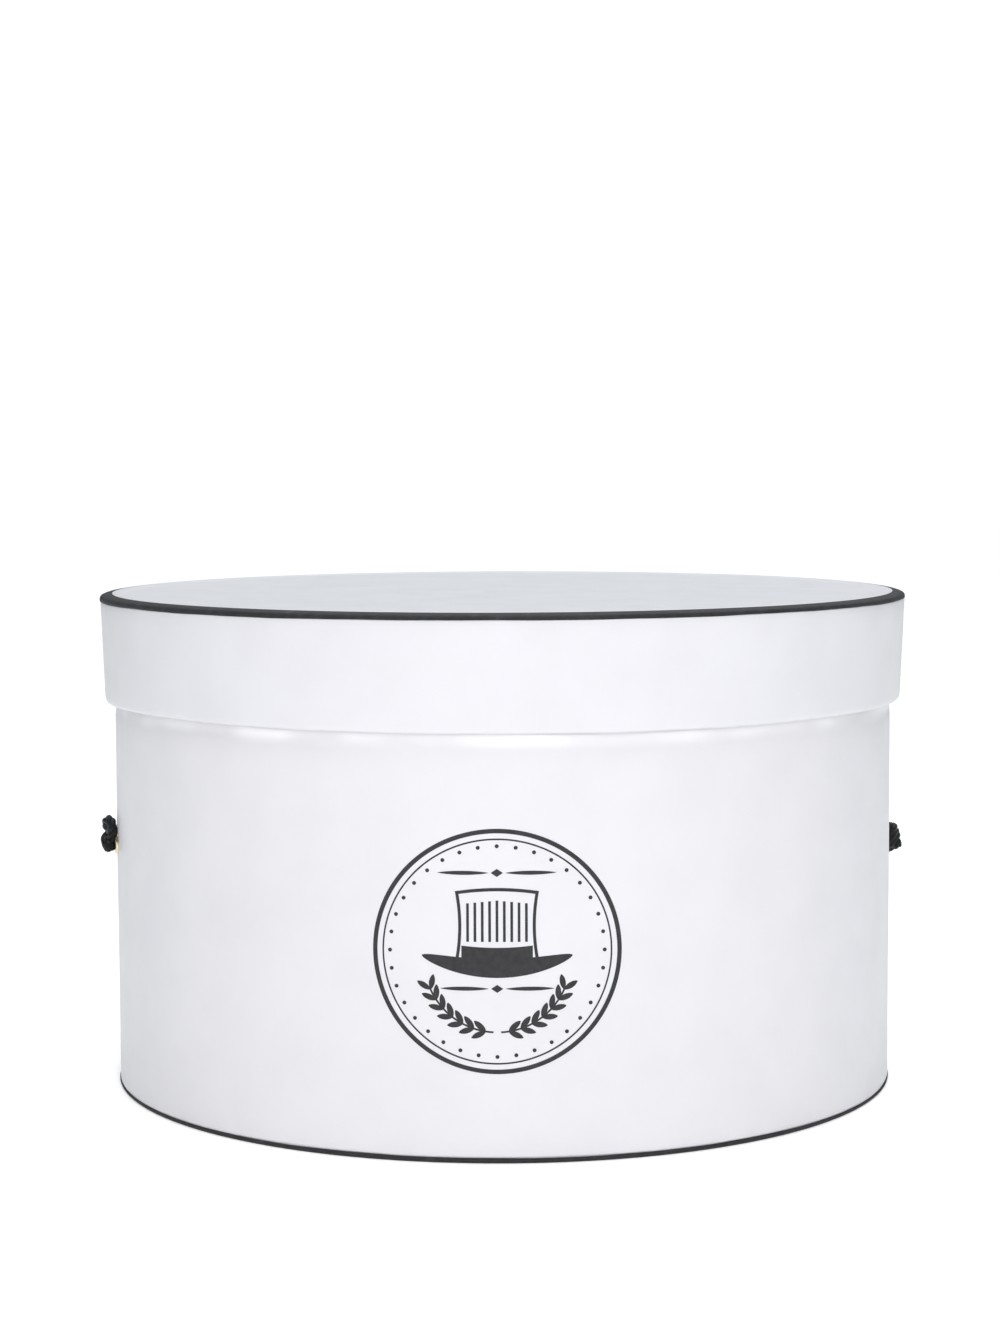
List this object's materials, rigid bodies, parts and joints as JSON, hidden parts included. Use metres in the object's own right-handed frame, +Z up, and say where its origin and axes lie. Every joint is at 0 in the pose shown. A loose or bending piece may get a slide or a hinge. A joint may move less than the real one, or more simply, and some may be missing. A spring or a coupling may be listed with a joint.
{
  "type": "hat box",
  "caption": "Round hat box of paper-covered board with a loose lift-off lid, dark edge bindings, brass side eyelets and a knotted carrying cord.",
  "frame": {"origin": "on the surface that the box stands on, below the middle of the box", "axes": "+Z up, -Y to the front, where the printed mark is, and +X to the right as seen from the front"},
  "size_m": [0.3826, 0.38, 0.23],
  "materials": {
    "cover_paper": "white coated cover paper, satin",
    "lining_paper": "uncoated lining paper, matt",
    "greyboard": "bare greyboard, matt",
    "gummed_tape": "gummed brown paper, matt",
    "binding_tape": "charcoal binding tape, matt",
    "brass": "bright brass",
    "cord": "black twisted cord"
  },
  "bodies": {
    "box_body": {"body_board": "greyboard", "body_joint_tape": "gummed_tape", "body_cover": "cover_paper", "body_lining": "lining_paper", "base_board": "greyboard", "base_lining": "lining_paper", "base_cover": "cover_paper", "base_binding": "binding_tape", "eyelet_left": "brass", "eyelet_right": "brass", "eyelet_washer_left": "brass", "eyelet_washer_right": "brass", "carry_cord": "cord", "cord_knot_left": "cord", "cord_knot_right": "cord"},
    "lid": {"lid_board": "greyboard", "lid_cover": "cover_paper", "lid_lining": "lining_paper", "lid_hoop_board": "greyboard", "lid_joint_tape": "gummed_tape", "lid_hoop_cover": "cover_paper", "lid_hoop_lining": "lining_paper", "lid_binding": "binding_tape"}
  },
  "joints": [
    {"name": "lid_lift", "type": "slide", "parent": "box_body", "child": "lid", "axis": [0, 0, 1], "range_m": [0, 0.15]}
  ]
}
